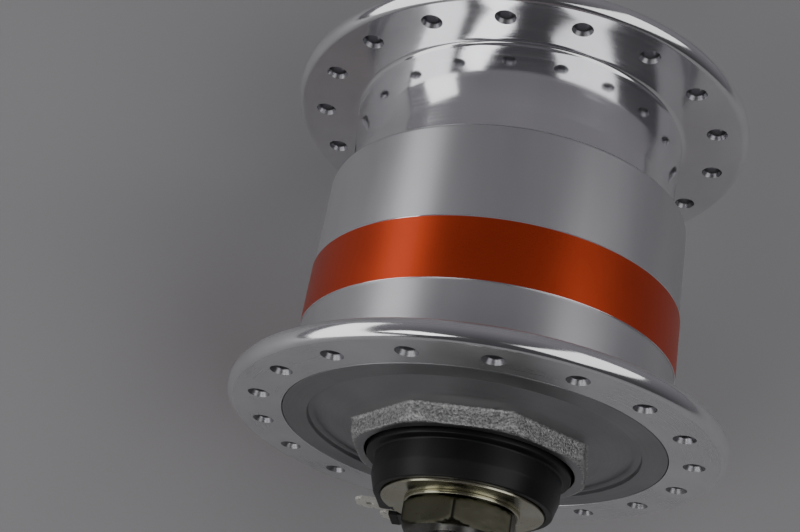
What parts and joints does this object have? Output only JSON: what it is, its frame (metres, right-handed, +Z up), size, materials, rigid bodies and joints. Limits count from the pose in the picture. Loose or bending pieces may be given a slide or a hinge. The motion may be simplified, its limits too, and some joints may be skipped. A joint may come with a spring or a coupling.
{
  "type": "hub dynamo",
  "caption": "Front wheel hub with a built-in claw-pole generator: large flanged aluminium shell turning on a fixed threaded axle with blade terminals at one end.",
  "frame": {"origin": "on the wheel axis, midway between the outer faces of the two lock nuts and the two axle tips", "axes": "+Y along the wheel axis from the dynamo end to the far end, +Z up in use with the terminals low at -X, +X completing the right-handed frame"},
  "size_m": [0.0804, 0.14, 0.0804],
  "materials": {
    "shell_aluminium": "satin barrel, polished flanges and neck",
    "cap_aluminium": "machined face, sandy cast octagon",
    "orange_band": "semi-gloss orange enamel",
    "black_plastic": "semi-gloss black moulding",
    "black_rubber": "matt black",
    "olive_zinc": "bright olive zinc plate",
    "zinc_steel": "zinc plated steel",
    "nut_zinc": "bright zinc plate",
    "cone_steel": "turned hardened steel",
    "bearing_steel": "ground and polished",
    "spring_steel": "blued spring steel",
    "core_steel": "bare soft iron",
    "magnet": "dark sintered ferrite",
    "copper": "enamelled copper wire",
    "bobbin_plastic": "natural nylon",
    "cage_brass": "pressed brass",
    "tinned_brass": "bright tinned brass",
    "lead_jacket": "red insulation"
  },
  "bodies": {
    "root": {"axle": "zinc_steel", "stator_core": "core_steel", "claw_plate_dynamo": "core_steel", "claw_plate_far": "core_steel", "coil_bobbin": "bobbin_plastic", "coil_winding": "copper", "stator_nut": "zinc_steel", "bearing_sleeve": "zinc_steel", "dynamo_inner_race": "bearing_steel", "connector_ring": "black_plastic", "terminal_block": "black_plastic", "terminal_blade_live": "tinned_brass", "terminal_blade_ground": "tinned_brass", "blade_sleeve": "black_rubber", "lead_wires": "lead_jacket", "cover_plate": "olive_zinc", "plate_washer": "olive_zinc", "lock_nut_dynamo": "olive_zinc", "far_cone": "cone_steel", "cone_washer": "zinc_steel", "lock_nut_far": "olive_zinc"},
    "shell": {"hub_shell": "shell_aluminium", "colour_band": "orange_band", "end_cap": "cap_aluminium", "cap_gasket": "black_rubber", "yoke_ring": "core_steel", "magnet_segments": "magnet", "dynamo_outer_race": "bearing_steel", "outer_bearing_seal": "black_rubber", "inner_bearing_seal": "black_rubber", "bearing_circlip": "spring_steel", "far_cup": "bearing_steel", "far_dust_cap": "black_plastic"},
    "dynamo_ball_row": {"dynamo_balls": "bearing_steel", "dynamo_ball_cage": "cage_brass"},
    "far_ball_row": {"far_ball_set": "bearing_steel", "far_ball_clip": "spring_steel"},
    "washer_dynamo": {"serrated_washer_dynamo": "nut_zinc"},
    "nut_dynamo": {"hub_nut_dynamo": "nut_zinc"},
    "washer_far": {"serrated_washer_far": "nut_zinc"},
    "nut_far": {"hub_nut_far": "nut_zinc"}
  },
  "joints": [
    {"name": "shell_spin", "type": "hinge", "parent": "root", "child": "shell", "pos_m": [0, 0, 0], "axis": [0, 1, 0], "continuous": true},
    {"name": "dynamo_ball_roll", "type": "hinge", "parent": "root", "child": "dynamo_ball_row", "pos_m": [0, 0, 0], "axis": [0, 1, 0], "continuous": true},
    {"name": "far_ball_roll", "type": "hinge", "parent": "root", "child": "far_ball_row", "pos_m": [0, 0, 0], "axis": [0, 1, 0], "continuous": true},
    {"name": "nut_dynamo_travel", "type": "slide", "parent": "root", "child": "washer_dynamo", "axis": [0, -1, 0], "range_m": [-0.0085, 0.0015]},
    {"name": "nut_dynamo_turn", "type": "hinge", "parent": "washer_dynamo", "child": "nut_dynamo", "pos_m": [0, 0, 0], "axis": [0, -1, 0], "range_deg": [-3061, 541]},
    {"name": "nut_far_travel", "type": "slide", "parent": "root", "child": "washer_far", "axis": [0, 1, 0], "range_m": [-0.0085, 0.0015]},
    {"name": "nut_far_turn", "type": "hinge", "parent": "washer_far", "child": "nut_far", "pos_m": [0, 0, 0], "axis": [0, 1, 0], "range_deg": [-3061, 541]}
  ],
  "couplings": [
    {"joint": "dynamo_ball_roll", "follows": "shell_spin", "ratio": 0.6107},
    {"joint": "far_ball_roll", "follows": "shell_spin", "ratio": 0.5956},
    {"joint": "nut_dynamo_turn", "follows": "nut_dynamo_travel", "rad_per_m": 6283.2},
    {"joint": "nut_far_turn", "follows": "nut_far_travel", "rad_per_m": 6283.2}
  ]
}
